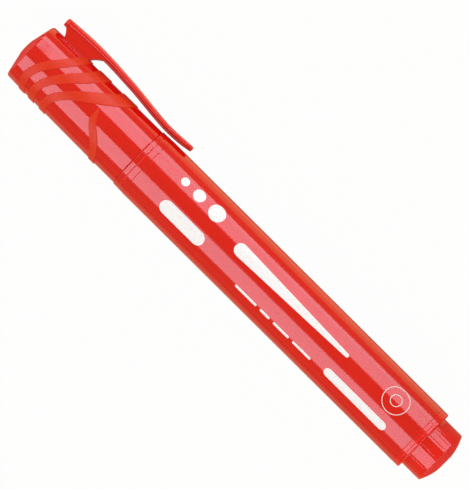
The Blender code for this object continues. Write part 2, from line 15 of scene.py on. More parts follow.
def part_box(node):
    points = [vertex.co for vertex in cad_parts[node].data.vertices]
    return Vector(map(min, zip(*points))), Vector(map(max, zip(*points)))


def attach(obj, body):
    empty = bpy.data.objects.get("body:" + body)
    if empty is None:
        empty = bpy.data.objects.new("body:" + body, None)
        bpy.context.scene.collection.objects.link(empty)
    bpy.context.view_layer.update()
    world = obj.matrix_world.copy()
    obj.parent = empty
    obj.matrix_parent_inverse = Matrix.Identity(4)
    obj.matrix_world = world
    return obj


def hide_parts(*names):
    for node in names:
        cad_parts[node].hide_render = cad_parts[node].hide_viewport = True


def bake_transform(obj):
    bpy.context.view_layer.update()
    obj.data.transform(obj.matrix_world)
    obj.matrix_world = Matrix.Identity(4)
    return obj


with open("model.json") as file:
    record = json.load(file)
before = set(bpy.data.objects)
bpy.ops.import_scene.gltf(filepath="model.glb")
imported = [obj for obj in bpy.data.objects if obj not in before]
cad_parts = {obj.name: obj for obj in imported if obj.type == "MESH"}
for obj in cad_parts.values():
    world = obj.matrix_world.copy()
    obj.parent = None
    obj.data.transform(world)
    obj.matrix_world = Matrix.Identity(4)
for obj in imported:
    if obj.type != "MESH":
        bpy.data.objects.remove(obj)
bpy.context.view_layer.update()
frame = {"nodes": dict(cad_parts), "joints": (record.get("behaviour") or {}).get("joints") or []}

MM = 0.001
ROUND_STEPS = 128  # facets round the barrel and the cap
SMALL_STEPS = 72  # facets round the nib and the liner
FILLET_STEPS = 4
FILLET_MARGIN = 0.02 * MM  # from a fillet's end to the point beside it
CROWN_STEPS = 10
MERGE_DISTANCE = 0.0001 * MM
SMOOTH_ANGLE = math.radians(38)
SEAT_GAP = 0.3 * MM  # clearance between end faces
PRESS_GAP = 0.15 * MM  # clearance round a piece that is pressed into another
END_FLAT = 2.0 * MM  # radius of the flat in the middle of both domed ends

# Where the marker lies
CLIP_FLEX = next(joint for joint in frame["joints"] if joint["name"] == "clip_flex")
AXIS_POINT = sum(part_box("barrel"), Vector()) / 2
ROLL = math.atan2(CLIP_FLEX["axis"][2], CLIP_FLEX["axis"][1])
LIE = Matrix.Translation((0.0, AXIS_POINT.y, AXIS_POINT.z)) @ Matrix.Rotation(ROLL, 4, "X")
TOWARDS_CAMERA = LIE.to_3x3() @ Vector((0, 1, 0))
TOWARDS_CLIP = LIE.to_3x3() @ Vector((0, 0, 1))

# Barrel. It reaches back to the flange, so that only a fine line shows between the two.
BARREL_SEAT = 0.4 * MM
BARREL_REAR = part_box("barrel")[0].x - BARREL_SEAT
BARREL_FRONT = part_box("barrel")[1].x
BARREL_RADIUS = 8.5 * MM
BARREL_REAR_RADIUS = 8.42 * MM
BARREL_BORE = 7.12 * MM
BARREL_REAR_EDGE = 0.1 * MM
BARREL_FRONT_EDGE = 0.09 * MM

# End plug: a domed, fluted knob, a flange with a fine groove, and a hollow spigot
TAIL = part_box("end_plug")[0].x
KNOB_FRONT = TAIL + 7.1 * MM
KNOB_RADIUS = 7.17 * MM
KNOB_SLOPES = (math.radians(5.0), math.radians(27.0))  # of its dome, at the flat and at the shoulder
KNOB_ROUND = 0.35 * MM
KNOB_HOLLOW = 5.67 * MM
KNOB_FLOOR = TAIL + 2.0 * MM
KNOB_SIDE_STEPS = 6
FLANGE_FRONT = BARREL_REAR
FLANGE_RADIUS = 8.4 * MM
FLANGE_ROUND = 0.4 * MM
FLANGE_FRONT_EDGE = 0.06 * MM
FLANGE_GROOVE = (KNOB_FRONT + FLANGE_FRONT) / 2
FLANGE_GROOVE_REACH = 0.1 * MM
FLANGE_GROOVE_DEPTH = 0.04 * MM
FLANGE_GROOVE_EDGE = 0.04 * MM
FLANGE_GROOVE_ROUND = 0.02 * MM
SPIGOT_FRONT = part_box("end_plug")[1].x
SPIGOT_RADIUS = 6.97 * MM
SPIGOT_HOLLOW = 5.77 * MM
SPIGOT_EDGE = 0.25 * MM
FLUTES = 48
FLUTE_STEPS = 8  # facets from one flute to the next
FLUTE_DEPTH = 0.03 * MM
FLUTE_FADE = 0.8 * MM  # along the axis, at the shoulder
FLUTED_FROM = KNOB_HOLLOW + 0.5 * MM  # radius inside which the knob has no flutes
FLUTE_MARGIN = 0.01 * MM  # by which a vertex may miss the knob's skin

# Nib holder, from the skirt in the barrel over the collar, the neck and the cone to the nose
CAP_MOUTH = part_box("cap_shell")[0].x
SKIRT_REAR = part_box("nib_holder")[0].x
SKIRT_EDGE = 0.25 * MM
COLLAR_REAR = BARREL_FRONT
COLLAR_FRONT = CAP_MOUTH - 0.02 * MM  # a fine line shows between collar and cap
COLLAR_RADIUS = 8.4 * MM
COLLAR_REAR_RADIUS = 8.46 * MM
COLLAR_REAR_EDGE = 0.06 * MM
COLLAR_FRONT_EDGE = 0.2 * MM
COLLAR_DRAFT = 0.02 * MM  # from its rear to its groove
COLLAR_GROOVE = CAP_MOUTH - 1.4 * MM
COLLAR_GROOVE_REACH = 0.14 * MM
COLLAR_GROOVE_DEPTH = 0.03 * MM
COLLAR_GROOVE_EDGE = 0.05 * MM
COLLAR_GROOVE_ROUND = 0.04 * MM
CHAMBER_RADIUS = 6.17 * MM
LEDGE = COLLAR_REAR - 2.0 * MM  # stop in front of the reservoir
FEED_RADIUS = 4.0 * MM
NECK_RADIUS = 6.63 * MM
NECK_ROOT = 0.2 * MM
NECK_ROUND = 0.9 * MM
SNAP_HEIGHT = 0.2 * MM
SNAP_REACH = 0.6 * MM
SNAP_FOOT = 0.3 * MM
SNAP_ROUND = 0.4 * MM
NOSE_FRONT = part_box("nib_holder")[1].x
NOSE_REAR = NOSE_FRONT - 6.0 * MM
NOSE_RADIUS = 4.5 * MM
NOSE_ROOT = 0.8 * MM
NOSE_ROUND = 0.5 * MM
NECK_FRONT = NOSE_REAR - 5.0 * MM
FEED_TAPER_FRONT = NOSE_FRONT - 9.0 * MM
FEED_TAPER_REAR = NOSE_FRONT - 14.0 * MM

# Nib
NIB_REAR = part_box("nib")[0].x
NIB_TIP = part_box("nib")[1].x
NIB_RADIUS = 2.4 * MM
NIB_BORE = NIB_RADIUS + PRESS_GAP
NIB_BORE_EDGE = 0.15 * MM
NIB_POINT = 3.6 * MM
NIB_CHAMFER = 0.25 * MM
NIB_STEPS = 20

# Liner inside the cap, with a flange at both ends
LINER_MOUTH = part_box("cap_liner")[0].x
LINER_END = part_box("cap_liner")[1].x
LINER_RADIUS = 5.5 * MM
LINER_BORE = 4.7 * MM
LINER_WALL = 0.8 * MM
LINER_FLANGE = 1.0 * MM
LINER_FLANGE_RADIUS = 6.55 * MM
LINER_FLANGE_EDGE = 0.2 * MM
LINER_INNER_EDGE = 0.3 * MM
LINER_MOUTH_EDGE = 0.35 * MM

# Cap
CAP_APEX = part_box("cap_shell")[1].x
CAP_LENGTH = CAP_APEX - CAP_MOUTH
CAP_CEILING = LINER_END + SEAT_GAP
CAP_RADIUS = 8.18 * MM
CAP_END_RADIUS = 7.85 * MM
CAP_SLOPES = (math.radians(13.5), math.radians(13.5))
CAP_ROUND = 0.65 * MM
CAP_SIDE_STEPS = 16
CAP_BORE = 7.03 * MM
CAP_BORE_FRONT = NOSE_REAR - 2.5 * MM
CAP_MOUTH_EDGE = 0.14 * MM
CAP_BORE_EDGE = 0.22 * MM
CAP_CEILING_ROUND = 0.3 * MM
LINER_SEAT = 6.7 * MM
RETAINER_FRONT = LINER_MOUTH - SEAT_GAP
RETAINER_WIDTH = 0.6 * MM
RETAINER_RADIUS = LINER_SEAT - 0.3 * MM
RETAINER_EDGE = 0.1 * MM

# Raised bands round the cap. Each one's middle line lies at a mean distance from the cap's closed
# end, and its tilt, sag and twist are the waves it makes once, twice and three times per turn.
BANDS = {  # mean, tilt, sag, twist, and width beside the clip
    "cap_band_first": (8.27 * MM, 3.65 * MM, -1.28 * MM, 0.56 * MM, 2.6 * MM),
    "cap_band_second": (12.67 * MM, 4.88 * MM, -1.16 * MM, 0.58 * MM, 4.3 * MM),
    "cap_band_third": (18.41 * MM, 7.32 * MM, -1.29 * MM, 0.75 * MM, 5.2 * MM),
}
BAND_WIDTH = 2.1 * MM
BAND_FLARE = math.radians(-10)  # from here up to the clip the bands widen
BAND_HEIGHT = 0.22 * MM
BAND_ROOT = 0.35 * MM  # how deep a band sinks into the cap
BAND_SPREAD = 0.08 * MM  # of its foot, on each side
BAND_LEAN = 0.12 * MM  # of its flanks, inwards
BAND_EDGE = 0.14 * MM
BAND_STEPS = 240

# Half band that hangs round the cap on the side away from the clip
SWAG_WIDTH = 2.1 * MM
SWAG_START = math.radians(11)
SWAG_FADE = math.radians(24)
SWAG_TIP = 0.3  # width of its ends, as a share of the full width
SWAG_TURN = math.pi / 2 - SWAG_START
SWAG_STEP = 0.001  # of height, over which the half band's lean is taken
SWAG_PATH = [  # height as a share of the cap's radius, and distance from the cap's closed end
    (-1.0, 29.6 * MM),
    (-0.64, 27.7 * MM),
    (-0.17, 23.9 * MM),
    (0.15, 23.0 * MM),
    (0.2, 22.95 * MM),
]

# Clip, as a plate with a rib under it
CLIP_HEAD = CAP_APEX - 2.55 * MM
CLIP_LENGTH = 42.0 * MM
CLIP_WAIST = 34.0 * MM
CLIP_CREST = 10.0 * MM
CLIP_CREST_HEIGHT = 12.4 * MM
CLIP_PATH = [  # distance from the clip's head, and height of its outer face above the axis
    (0.0, 11.95 * MM),
    (CLIP_CREST, CLIP_CREST_HEIGHT),
    ((CLIP_CREST + CLIP_WAIST) / 2, 11.78 * MM),
    (CLIP_WAIST, 10.584 * MM),
    (CLIP_LENGTH, 10.884 * MM),
]
CLIP_WIDTH = 5.8 * MM
CLIP_TIP_WIDTH = 4.6 * MM
CLIP_END_ROUND = 1.3 * MM
CLIP_END_STEPS = 6
CLIP_STEP = 0.8 * MM  # between the cuts across it
CLIP_BEND_START = 9.0 * MM  # from here to the next place it takes up its flex
CLIP_BEND_END = 26.0 * MM
PLATE_THICKNESS = 1.5 * MM
PLATE_TIP_THICKNESS = 0.9 * MM
PLATE_CROWN = 0.18 * MM
PLATE_ROUND = 0.55 * MM
PLATE_UNDER_ROUND = 0.4 * MM
CLIP_RIB_WIDTH = 2.0 * MM
CLIP_RIB_DEPTH = 0.72 * MM
CLIP_RIB_TIP_DEPTH = 0.45 * MM
CLIP_RIB_TAPER = 2.5 * MM
RIB_ROUND = 0.35 * MM
RIM_STEPS = 5
RIM_ANGLE = math.radians(60)
LEVEL_TOLERANCE = 0.001 * MM
PARALLEL = 0.99  # least cosine between an edge and the direction that it runs along
FACING = 0.9  # least cosine between a face's normal and the direction that it faces

# Fin between cap and clip, hollowed out at both ends
FIN_START = 2.27 * MM
FIN_LENGTH = 7.85 * MM
FIN_FRONT_FLARE = 1.75 * MM
FIN_REAR_FLARE = 3.13 * MM
FIN_HOLLOW = 1.5  # power of the flares' curve: 1 is a quarter ellipse, 2 a straight slope
FIN_WIDTH = 4.6 * MM
FIN_ROOT = 0.6 * MM  # how deep the fin sinks into the cap
FIN_OVERLAP = 0.25 * MM  # how far its flares run into the clip
FIN_STEPS = 12

# Print on the barrel. Heights are off the axis, as the photograph shows them.
PRINT_SINK = 0.02 * MM
PRINT_LIFT = 0.03 * MM
PRINT_STEP = 0.35 * MM
PRINT_END_STEPS = 12
DISC_STEPS = 40
DISC_HEIGHT = 3.8 * MM
DISCS = ((19.8 * MM, 1.1 * MM), (15.2 * MM, 1.6 * MM), (9.4 * MM, 2.2 * MM))  # place, radius
PRINT_BARS = {  # start, end, height, and the widths of both ends
    "print_label": (18.7 * MM, 8.7 * MM, -3.6 * MM, 3.7 * MM, 3.7 * MM),
    "print_stroke": (-0.6 * MM, -35.3 * MM, 1.6 * MM, 3.4 * MM, 1.0 * MM),
    "print_bar": (-35.0 * MM, -52.4 * MM, -4.4 * MM, 2.3 * MM, 2.3 * MM),
}
DASHES = (6.2 * MM, 2.4 * MM, 4.4 * MM, 5.2 * MM)
DASH_START = -5.6 * MM
DASH_GAP = 1.9 * MM
DASH_HEIGHT = -5.1 * MM
DASH_WIDTH = 0.7 * MM
HOOP_STEPS = 64
HOOP_PLACE = -50.8 * MM
HOOP_HEIGHT = 2.22 * MM
HOOP_RADII = (3.45 * MM, 1.5 * MM)
HOOP_WIDTH = 0.16 * MM

# Finishes, with the darkest and the lightest shade of each
GLOSS_SHADES = ((0.70, 0.003, 0.001, 1.0), (0.74, 0.005, 0.002, 1.0))
# A lighter copy of the gloss red, which is painted light: it is brighter so that the clip's fin, shaded by
# the plate, and the knob look as bright as the rest of the marker.
PAINTED_LIGHT_SHADES = ((0.79, 0.004, 0.0015, 1.0), (0.83, 0.006, 0.0025, 1.0))
SATIN_SHADES = ((0.72, 0.026, 0.004, 1.0), (0.76, 0.038, 0.007, 1.0))
INK_SHADES = ((0.9, 0.9, 0.93, 1.0), (0.95, 0.95, 0.98, 1.0))
PINHOLE_PINK = (0.85, 0.45, 0.42, 1.0)
FELT_SHADES = ((0.30, 0.006, 0.008, 1.0), (0.50, 0.016, 0.016, 1.0))
CORE_SHADES = ((0.42, 0.03, 0.03, 1.0), (0.62, 0.07, 0.06, 1.0))
MILKY_SHADES = ((0.74, 0.73, 0.70, 1.0), (0.82, 0.81, 0.79, 1.0))
CLOUDED = ((0.3, 0.0), (0.7, 1.0))  # stops that spread a noise between two shades
PLASTIC_IOR = 1.58
PLUG_IOR = 1.55
SATIN_IOR = 1.4
DULL_END = 0.5  # roughness that a closed end adds
# Where the closed ends start to be dull, and where they are all dull
CAP_SHOULDER = (CAP_APEX - 1.75 * MM, CAP_APEX - 1.4 * MM)
KNOB_SHOULDER = (TAIL + 1.75 * MM, TAIL + 1.5 * MM)

# Camera
IMAGE_WIDTH = 469
IMAGE_HEIGHT = 489
PIXELS_PER_METRE = 4279.0
MIDDLE_PIXEL = (235.5, 254.3)
AXIS_SLANT = math.radians(44.8)
AXIS_TILT = math.radians(2.4)
CAMERA_DISTANCE = 1.6
SENSOR = 36.0

# Floor, white to the camera and darker in reflections
FLOOR_RADIUS = 4.0
FLOOR_RIM = 0.6
FLOOR_STEPS = 96
FLOOR_SHADE = (0.6, 0.38, 0.21, 1.0)
FLOOR_WHITE = (1.0, 1.0, 1.0, 1.0)
FLOOR_SEEN = 0.98
FLOOR_MIRRORED = 0.1

# Lamps, all of them rectangles. The first side of a tall or lying one runs along the marker.
# A tall one is turned round the axis, from the camera towards the clip.
LAMP_COLOUR = (0.95, 0.97, 1.13)
LAMP_RADIANCE = 3.15
TALL_LAMP_REACH = 2.0
TALL_LAMPS = {  # turn, half its height as a turn, place along the axis, length
    "softbox_above": (math.radians(-45.3), math.radians(24.4), 0.12, 0.6),
    "softbox_front": (math.radians(44.0), math.radians(17.5), 0.09, 0.48),
}
LYING_LAMPS = {  # middle, size, radiance, colour
    "softbox_low": ((0.054, -0.52, 0.001), (0.233, 0.96), LAMP_RADIANCE, (0.8, 0.98, 1.15)),
    "softbox_beside": ((0.0085, -0.0118, 0.0002), (0.142, 0.0099), 0.7, (0.75, 0.7, 0.3)),
}
END_LAMPS = {"softbox_cap_end": (0.62, 0.08, 0.32), "softbox_tail_end": (-0.62, 0.08, 0.32)}
END_LAMP_SIZE = (1.6, 0.6)
END_LAMP_RADIANCE = 1.08
WORLD_COLOUR = (1.0, 0.92, 0.55, 1.0)
WORLD_STRENGTH = 0.42


class Value:
    """An output in a node tree. Python operators on it add Math nodes."""

    def __init__(self, finish, output):
        self.finish = finish
        self.output = output

    def math(self, operation, first, second):
        return self.finish.node("ShaderNodeMath", {"operation": operation}, {0: first, 1: second})

    def __add__(self, other):
        return self.math("ADD", self, other)

    def __sub__(self, other):
        return self.math("SUBTRACT", self, other)

    def __rsub__(self, other):
        return self.math("SUBTRACT", other, self)

    def __mul__(self, other):
        return self.math("MULTIPLY", self, other)

    __radd__ = __add__
    __rmul__ = __mul__


def set_stops(ramp, stops):
    """Give a colour ramp its (position, grey) stops."""
    while len(ramp.elements) < len(stops):
        ramp.elements.new(1.0)
    for element, (position, grey) in zip(ramp.elements, stops):
        element.position = position
        element.color = (grey, grey, grey, 1.0)


def uneven(middle, spread, noise):
    """A value that swings about its middle with a noise."""
    return middle + (noise - 0.5) * spread


class Finish:
    """A node tree that a material or the world is drawn with."""

    def __init__(self, owner):
        owner.use_nodes = True
        self.owner = owner
        self.tree = owner.node_tree

    def node(self, kind, settings, values, output=0):
        """Add a node, with its settings first, and give its sockets values or links."""
        made = self.tree.nodes.new(kind)
        for key, setting in settings.items():
            if key == "stops":
                set_stops(made.color_ramp, setting)
            else:
                setattr(made, key, setting)
        for key, value in values.items():
            self.feed(made.inputs[key], value)
        return Value(self, made.outputs[output])

    def feed(self, socket, value):
        if isinstance(value, Value):
            self.tree.links.new(value.output, socket)
        else:
            socket.default_value = value

    def shade(self, **values):
        """Feed the Principled shader; a name's underscores stand for spaces."""
        shader = self.tree.nodes["Principled BSDF"]
        for key, value in values.items():
            self.feed(shader.inputs[key.replace("_", " ")], value)

    def place(self, stretch=(1.0, 1.0, 1.0)):
        """The object's own coordinates about the marker's axis, stretched for a pattern."""
        here = self.node("ShaderNodeTexCoord", {}, {}, "Object")
        lie = {"Vector": here, "Location": LIE.inverted().translation, "Rotation": (-ROLL, 0.0, 0.0)}
        straight = self.node("ShaderNodeMapping", {}, lie)
        return self.node("ShaderNodeVectorMath", {"operation": "MULTIPLY"}, {0: straight, 1: stretch})

    def noise(self, scale, detail=2.0, roughness=0.5, along=1.0):
        """Noise per metre, drawn out along the axis where along is less than 1."""
        place = self.place((along, 1.0, 1.0))
        values = {"Vector": place, "Scale": scale, "Detail": detail, "Roughness": roughness}
        return self.node("ShaderNodeTexNoise", {}, values, "Fac")

    def ramp(self, value, *stops):
        return self.node("ShaderNodeValToRGB", {"stops": stops}, {"Fac": value})

    def mix(self, factor, first, second):
        values = {"Factor": factor, 6: first, 7: second}
        return self.node("ShaderNodeMix", {"data_type": "RGBA"}, values, 2)

    def bump(self, height, strength, distance):
        values = {"Height": height, "Strength": strength, "Distance": distance}
        return self.node("ShaderNodeBump", {}, values)


def new_finish(name):
    return Finish(bpy.data.materials.new(name))


def moulded_red(name, shades, roughness, along, index=PLASTIC_IOR, dull=None):
    """Gloss plastic with faint flow marks along the mould, and a skin that isn't quite even.

    A closed end is left duller by the mould, from the first to the second place along the axis.
    """
    red = new_finish(name)
    flow = red.noise(scale=260.0, detail=3.0, roughness=0.55, along=along)
    cloud = red.noise(scale=90.0)
    polish = uneven(roughness, 0.06, red.noise(scale=420.0, along=along))
    if dull:
        place = red.node("ShaderNodeSeparateXYZ", {}, {"Vector": red.place()}, "X")
        end = {"Value": place, "From Min": dull[0], "From Max": dull[1], "To Max": DULL_END}
        polish = polish + red.node("ShaderNodeMapRange", {}, end)
    red.shade(
        Base_Color=red.mix(red.ramp(flow * 0.6 + cloud * 0.4, *CLOUDED), *shades),
        Roughness=polish,
        IOR=index,
        Normal=red.bump(red.noise(scale=1500.0), strength=0.05, distance=0.02 * MM),
    )
    return red.owner


def satin_red(name, shades):
    """The bands' spark-eroded finish: the same plastic with a fine dull grain."""
    red = new_finish(name)
    grain = red.noise(scale=5200.0, roughness=0.6)
    red.shade(
        Base_Color=red.mix(red.ramp(red.noise(scale=300.0, detail=3.0), *CLOUDED), *shades),
        Roughness=uneven(0.42, 0.16, red.noise(scale=2600.0, detail=1.0)),
        IOR=SATIN_IOR,
        Normal=red.bump(grain, strength=0.35, distance=0.02 * MM),
    )
    return red.owner


def printed_white(name):
    """Screen-printed ink: a little uneven, with pinholes that show the plastic."""
    ink = new_finish(name)
    pinholes = ink.ramp(ink.noise(scale=3800.0, detail=1.0), (0.66, 0.0), (0.72, 1.0))
    cloud = ink.mix(ink.noise(scale=900.0), *INK_SHADES)
    ink.shade(
        Base_Color=ink.mix(pinholes, cloud, PINHOLE_PINK),
        Roughness=uneven(0.38, 0.2, ink.noise(scale=2200.0)),
        Normal=ink.bump(ink.noise(scale=2600.0), strength=0.15, distance=0.01 * MM),
    )
    return ink.owner


def fibre_red(name, shades, along):
    """Bundled fibres along the axis, soaked with ink."""
    felt = new_finish(name)
    fibres = felt.noise(scale=5200.0, detail=3.0, roughness=0.6, along=along)
    soak = felt.noise(scale=420.0)
    felt.shade(
        Base_Color=felt.mix(felt.ramp(fibres * 0.7 + soak * 0.3, (0.35, 0.0), (0.65, 1.0)), *shades),
        Roughness=uneven(0.78, 0.25, fibres),
        Normal=felt.bump(fibres, strength=0.6, distance=0.06 * MM),
    )
    return felt.owner


def milky_white(name):
    """Unpainted plastic inside the cap and round the reservoir."""
    milky = new_finish(name)
    cloud = milky.ramp(milky.noise(scale=180.0, detail=3.0), *CLOUDED)
    milky.shade(
        Base_Color=milky.mix(cloud, *MILKY_SHADES),
        Roughness=uneven(0.36, 0.12, milky.noise(scale=700.0)),
        Normal=milky.bump(milky.noise(scale=1800.0), strength=0.08, distance=0.02 * MM),
    )
    return milky.owner


CAP_RED = moulded_red("cap_gloss_red", GLOSS_SHADES, roughness=0.09, along=0.5, dull=CAP_SHOULDER)
BARREL_RED = moulded_red("barrel_gloss_red", GLOSS_SHADES, roughness=0.12, along=0.12)
# The plug and the clip take the lighter copy of the gloss red, which is painted light.
PLUG_RED_PAINTED_LIGHT = moulded_red(
    "plug_gloss_red_painted_light", PAINTED_LIGHT_SHADES, roughness=0.12, along=0.5, index=PLUG_IOR, dull=KNOB_SHOULDER
)
HOLDER_RED = moulded_red("holder_gloss_red", GLOSS_SHADES, roughness=0.12, along=0.5)
CLIP_RED_PAINTED_LIGHT = moulded_red("clip_gloss_red_painted_light", PAINTED_LIGHT_SHADES, roughness=0.09, along=0.5)
BAND_RED = satin_red("band_satin_red", SATIN_SHADES)
PRINT_WHITE = printed_white("print_white")
FELT_RED = fibre_red("nib_felt_red", FELT_SHADES, along=0.08)
CORE_RED = fibre_red("reservoir_fibre_red", CORE_SHADES, along=0.04)
MILKY_WHITE = milky_white("milky_white")


def piece(name, bm, material, body, replaced=()):
    """Lay a bmesh down as the marker lies, and make it a piece; when its body is a name, it rides on that
    body.
    """
    bm.transform(LIE)
    bmesh.ops.recalc_face_normals(bm, faces=bm.faces)
    mesh = bpy.data.meshes.new(name)
    bm.to_mesh(mesh)
    bm.free()
    mesh.shade_smooth()
    mesh.set_sharp_from_angle(angle=SMOOTH_ANGLE)
    mesh.materials.append(material)
    made = bpy.data.objects.new(name, mesh)
    bpy.context.scene.collection.objects.link(made)
    if isinstance(body, str):
        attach(made, body)
    else:
        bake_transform(made)
    if replaced:
        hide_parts(*replaced)


def rounded(corners):
    """Outline through (x, radius, fillet) corners, with an arc in place of each filleted corner.

    A point close beside each arc keeps the shading of the straight runs even.
    """
    points = []
    for index, (x, radius, fillet) in enumerate(corners):
        corner = Vector((x, radius))
        if not fillet:
            points.append(corner)
            continue
        before = (Vector(corners[index - 1][:2]) - corner).normalized()
        after = (Vector(corners[(index + 1) % len(corners)][:2]) - corner).normalized()
        half = before.angle(after) / 2
        run = fillet / math.tan(half)
        centre = corner + (before + after).normalized() * fillet / math.sin(half)
        start = (corner + before * run - centre).normalized()
        end = (corner + after * run - centre).normalized()
        points.append(corner + before * (run + FILLET_MARGIN))
        for step in range(FILLET_STEPS + 1):
            points.append(centre + start.slerp(end, step / FILLET_STEPS).normalized() * fillet)
        points.append(corner + after * (run + FILLET_MARGIN))
    return points


def lathe(outline, steps=ROUND_STEPS, ring=False, angle=math.tau):
    """Spin an (x, radius) outline about the axis; a ring's outline closes on itself."""
    bm = bmesh.new()
    verts = [bm.verts.new((x, 0.0, radius)) for x, radius in outline]
    edges = [bm.edges.new(pair) for pair in zip(verts, verts[1:])]
    if ring:
        edges.append(bm.edges.new((verts[-1], verts[0])))
    full = angle == math.tau
    bmesh.ops.spin(
        bm, geom=verts + edges, cent=(0, 0, 0), axis=(1, 0, 0), angle=angle, steps=steps, use_merge=full
    )
    bmesh.ops.remove_doubles(bm, verts=bm.verts, dist=MERGE_DISTANCE)
    return bm


def crown(apex, inward, radius, slopes, corner):
    """Outline of a domed end, from the axis to its round side; inward is the way along x into the piece.

    A flat in the middle, then a dome that runs from the first slope to the second, then a round
    shoulder.
    """
    inner, outer = slopes
    run = radius - corner * (1 - math.sin(outer)) - END_FLAT
    start, gain = math.tan(inner), math.tan(outer) - math.tan(inner)
    points = [(apex, 0.0)]
    for step in range(CROWN_STEPS):
        share = step / CROWN_STEPS
        depth = run * (start * share + gain * share**2 / 2)
        points.append((apex + inward * depth, END_FLAT + run * share))
    centre = run * (start + gain / 2) + corner * math.cos(outer)
    for step in range(CROWN_STEPS + 1):
        turn = outer + (math.pi / 2 - outer) * step / CROWN_STEPS
        depth = centre - corner * math.cos(turn)
        points.append((apex + inward * depth, radius - corner + corner * math.sin(turn)))
    points.append((apex + inward * (centre + FILLET_MARGIN), radius))
    return points


def through(points, at):
    """Height at a place on a smooth curve through (place, height) points."""
    last = len(points) - 1
    index = max(i for i in range(last) if points[i][0] <= at or i == 0)
    (x0, y0), (x1, y1) = points[index], points[index + 1]

    def lean(i):
        before, after = points[max(i - 1, 0)], points[min(i + 1, last)]
        return (after[1] - before[1]) / (after[0] - before[0])

    run = x1 - x0
    t = (at - x0) / run
    rise = (2 * t**3 - 3 * t**2 + 1) * y0 + (3 * t**2 - 2 * t**3) * y1
    return rise + run * ((t**3 - 2 * t**2 + t) * lean(index) + (t**3 - t**2) * lean(index + 1))


def clamp(value):
    """The value, kept between 0 and 1."""
    return min(1.0, max(0.0, value))


def new_verts(made):
    """The vertices among what an extrude operator made."""
    return [item for item in made["geom"] if isinstance(item, bmesh.types.BMVert)]


def make_barrel():
    """The tube between the end plug and the nib holder."""
    outline = rounded([
        (BARREL_REAR, BARREL_BORE, 0.0),
        (BARREL_REAR, BARREL_REAR_RADIUS, BARREL_REAR_EDGE),
        (BARREL_FRONT, BARREL_RADIUS, BARREL_FRONT_EDGE),
        (BARREL_FRONT, BARREL_BORE, 0.0),
    ])
    bm = lathe(outline, ring=True)
    piece("barrel_tube", bm, BARREL_RED, "marker_body", ["barrel"])


def make_plug():
    """The knob at the tail, with its flange and the spigot inside the barrel."""
    side = crown(TAIL, 1.0, KNOB_RADIUS, KNOB_SLOPES, KNOB_ROUND)
    side_start = side[-1][0]
    for step in range(1, KNOB_SIDE_STEPS + 1):
        side.append((side_start + (KNOB_FRONT - side_start) * step / KNOB_SIDE_STEPS, KNOB_RADIUS))
    flange = rounded([
        (KNOB_FRONT, KNOB_RADIUS, 0.0),
        (KNOB_FRONT, FLANGE_RADIUS, FLANGE_ROUND),
        (FLANGE_GROOVE - FLANGE_GROOVE_REACH, FLANGE_RADIUS, FLANGE_GROOVE_EDGE),
        (FLANGE_GROOVE, FLANGE_RADIUS - FLANGE_GROOVE_DEPTH, FLANGE_GROOVE_ROUND),
        (FLANGE_GROOVE + FLANGE_GROOVE_REACH, FLANGE_RADIUS, FLANGE_GROOVE_EDGE),
        (FLANGE_FRONT, FLANGE_RADIUS, FLANGE_FRONT_EDGE),
        (FLANGE_FRONT, SPIGOT_RADIUS, 0.0),
        (SPIGOT_FRONT, SPIGOT_RADIUS, SPIGOT_EDGE),
        (SPIGOT_FRONT, SPIGOT_HOLLOW, 0.0),
        (FLANGE_GROOVE, SPIGOT_HOLLOW, 0.0),
        (FLANGE_GROOVE, KNOB_HOLLOW, 0.0),
        (KNOB_FLOOR, KNOB_HOLLOW, 0.0),
        (KNOB_FLOOR, 0.0, 0.0),
    ])
    bm = lathe(side + flange[1:], FLUTES * FLUTE_STEPS)
    for vert in bm.verts:
        radius = math.hypot(vert.co.y, vert.co.z)
        on_knob = vert.co.x < KNOB_FRONT + FLUTE_MARGIN
        if on_knob and FLUTED_FROM < radius < KNOB_RADIUS + FLUTE_MARGIN:
            fade = clamp((vert.co.x - side_start) / FLUTE_FADE + 0.5)
            wave = (1 + math.cos(FLUTES * math.atan2(vert.co.y, vert.co.z))) / 2
            vert.co.yz *= 1 - fade * FLUTE_DEPTH * wave / radius
    piece("end_plug_fluted", bm, PLUG_RED_PAINTED_LIGHT, "marker_body", ["end_plug"])


